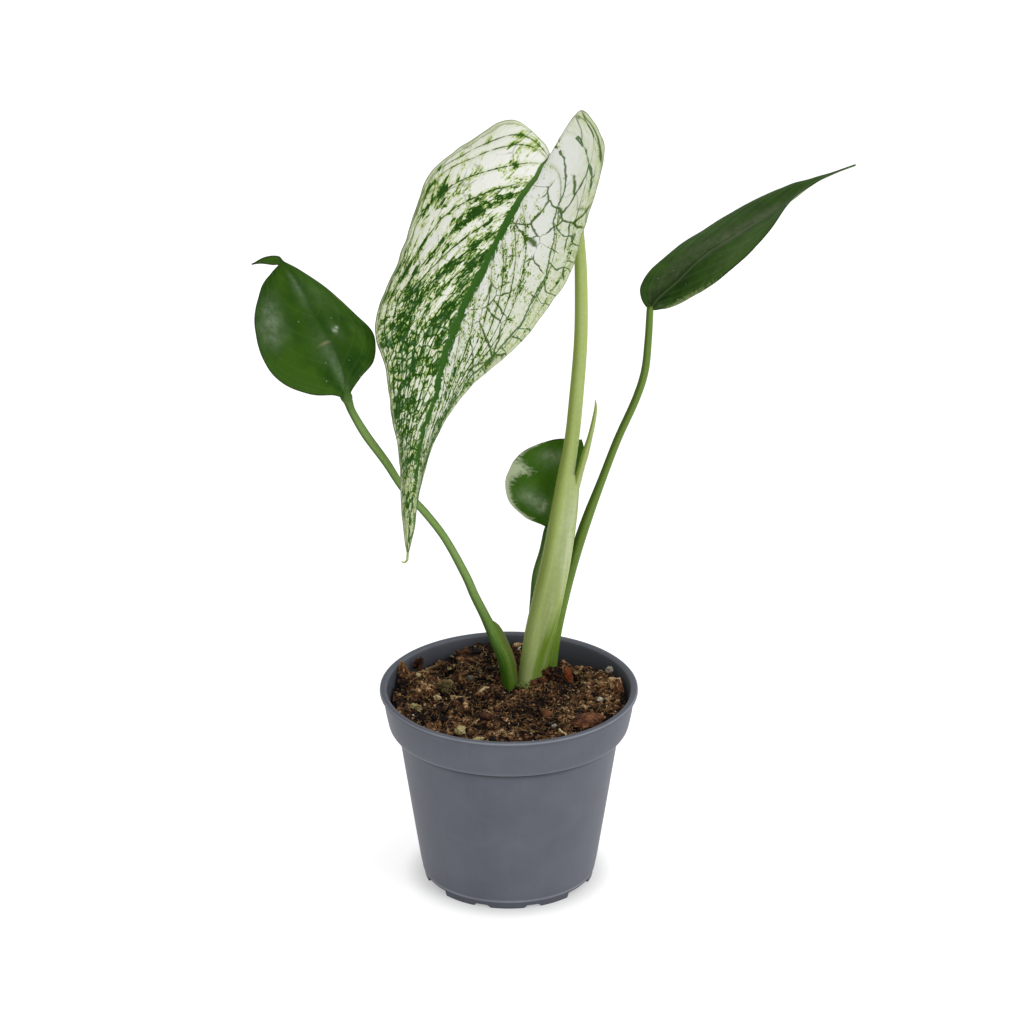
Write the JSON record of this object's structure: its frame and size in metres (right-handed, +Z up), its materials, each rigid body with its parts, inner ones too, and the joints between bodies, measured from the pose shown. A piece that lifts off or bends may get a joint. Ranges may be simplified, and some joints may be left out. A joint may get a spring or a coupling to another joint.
{
  "type": "potted monstera",
  "caption": "Young potted monstera: hanging variegated heart-shaped leaf, smaller green leaves on thin stalks, furled new leaf, soil in a round grey nursery pot.",
  "frame": {"origin": "on the ground at the middle of the pot's flat underside", "axes": "+Z up along the pot's axis, -Y towards the side that the leaves face, +X towards the leaf that is held out level"},
  "size_m": [0.1361, 0.06, 0.1825],
  "materials": {
    "pot_plastic": "matte moulded polypropylene with fine turning lines",
    "soil": "dark moist peat and coir",
    "root": "cream, soft",
    "pale_petiole": "satin, pale yellow-green with whitish streaks",
    "green_petiole": "satin, mid green",
    "variegated_leaf": "satin, ivory white with green along the midrib",
    "green_leaf": "glossy deep green with a grey sheen",
    "bark": "dry, rough",
    "perlite": "chalky",
    "fibre": "dry"
  },
  "bodies": {
    "root": {"pot": "pot_plastic", "soil": "soil", "crown_and_roots": "root", "large_leaf_petiole": "pale_petiole", "furled_new_leaf": "pale_petiole", "left_leaf_petiole": "green_petiole", "right_leaf_petiole": "green_petiole", "small_leaf_petiole": "green_petiole", "large_leaf": "variegated_leaf", "left_leaf": "green_leaf", "right_leaf": "green_leaf", "small_leaf": "green_leaf", "bark_chip_1": "bark", "bark_chip_2": "bark", "bark_chip_3": "bark", "bark_chip_4": "bark", "bark_chip_5": "bark", "bark_chip_6": "bark", "perlite_1": "perlite", "perlite_2": "perlite", "perlite_3": "perlite", "perlite_4": "perlite", "perlite_5": "perlite", "perlite_6": "perlite", "fibre_1": "fibre", "fibre_2": "fibre", "fibre_3": "fibre"}
  },
  "joints": []
}
